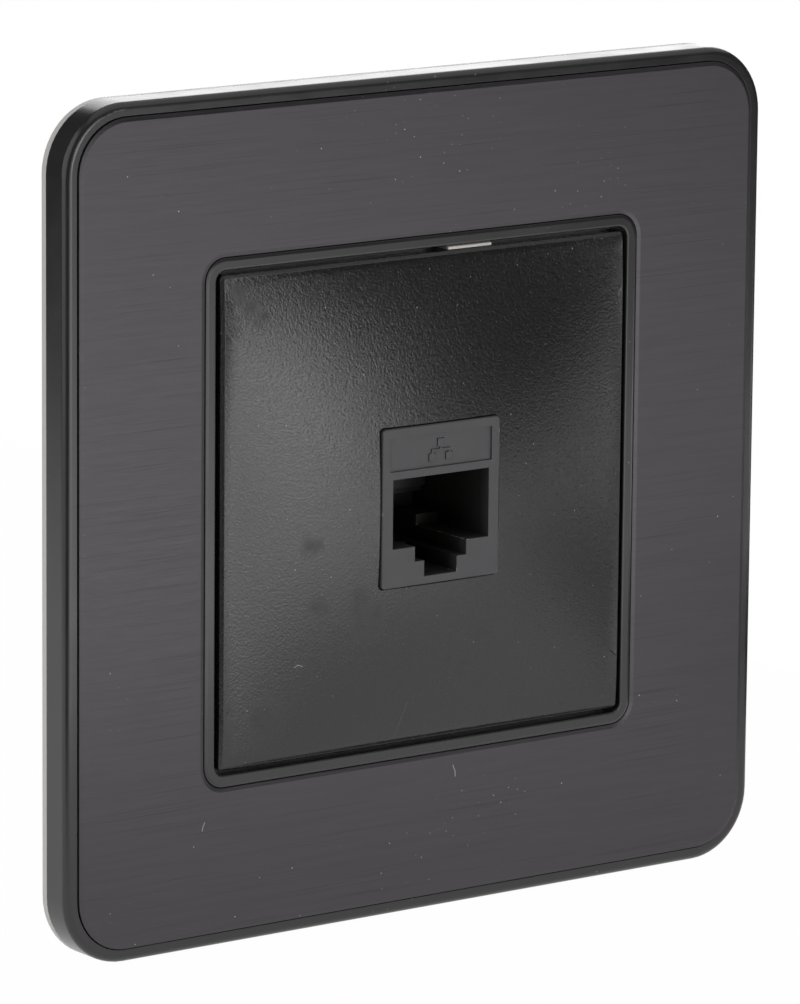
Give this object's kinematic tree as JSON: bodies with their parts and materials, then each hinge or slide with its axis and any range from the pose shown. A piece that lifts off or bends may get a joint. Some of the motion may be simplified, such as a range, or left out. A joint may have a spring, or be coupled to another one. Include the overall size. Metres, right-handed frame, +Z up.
{
  "type": "ethernet socket",
  "caption": "Square flush wall plate with a brushed panel, a raised centre insert and a snap-in keystone data jack with spring contacts and rear wire terminals.",
  "frame": {"origin": "midway between the two fixing slots, in the plane of the wall", "axes": "+X to the viewer's right, +Y into the wall, +Z up; the plate faces -Y"},
  "size_m": [0.086, 0.032, 0.086],
  "materials": {
    "frame_gloss_black": "polished injection-moulded plastic",
    "panel_brushed_anodised": "dark anodised, brushed along X",
    "base_pale_grey": "plain moulded plastic",
    "insert_satin_black": "fine spark-eroded moulding grain",
    "jack_satin_grey": "fine moulded satin",
    "carrier_black": "plain moulded plastic",
    "board_green": "solder-masked laminate",
    "terminal_black": "plain moulded plastic",
    "cap_black": "plain moulded plastic",
    "contact_gold": "gold-plated spring bronze",
    "blade_tinned": "tinned bronze"
  },
  "bodies": {
    "root": {"cover_frame": "frame_gloss_black", "brushed_panel": "panel_brushed_anodised", "mounting_base": "base_pale_grey", "insert": "insert_satin_black", "jack_housing": "jack_satin_grey", "contact_carrier": "carrier_black", "circuit_board": "board_green", "terminal_block": "terminal_black", "wire_cap_upper": "cap_black", "wire_cap_lower": "cap_black", "contact_1": "contact_gold", "contact_2": "contact_gold", "contact_3": "contact_gold", "contact_4": "contact_gold", "contact_5": "contact_gold", "contact_6": "contact_gold", "contact_7": "contact_gold", "contact_8": "contact_gold", "idc_blade_1": "blade_tinned", "idc_blade_2": "blade_tinned", "idc_blade_3": "blade_tinned", "idc_blade_4": "blade_tinned", "idc_blade_5": "blade_tinned", "idc_blade_6": "blade_tinned", "idc_blade_7": "blade_tinned", "idc_blade_8": "blade_tinned"}
  },
  "joints": []
}
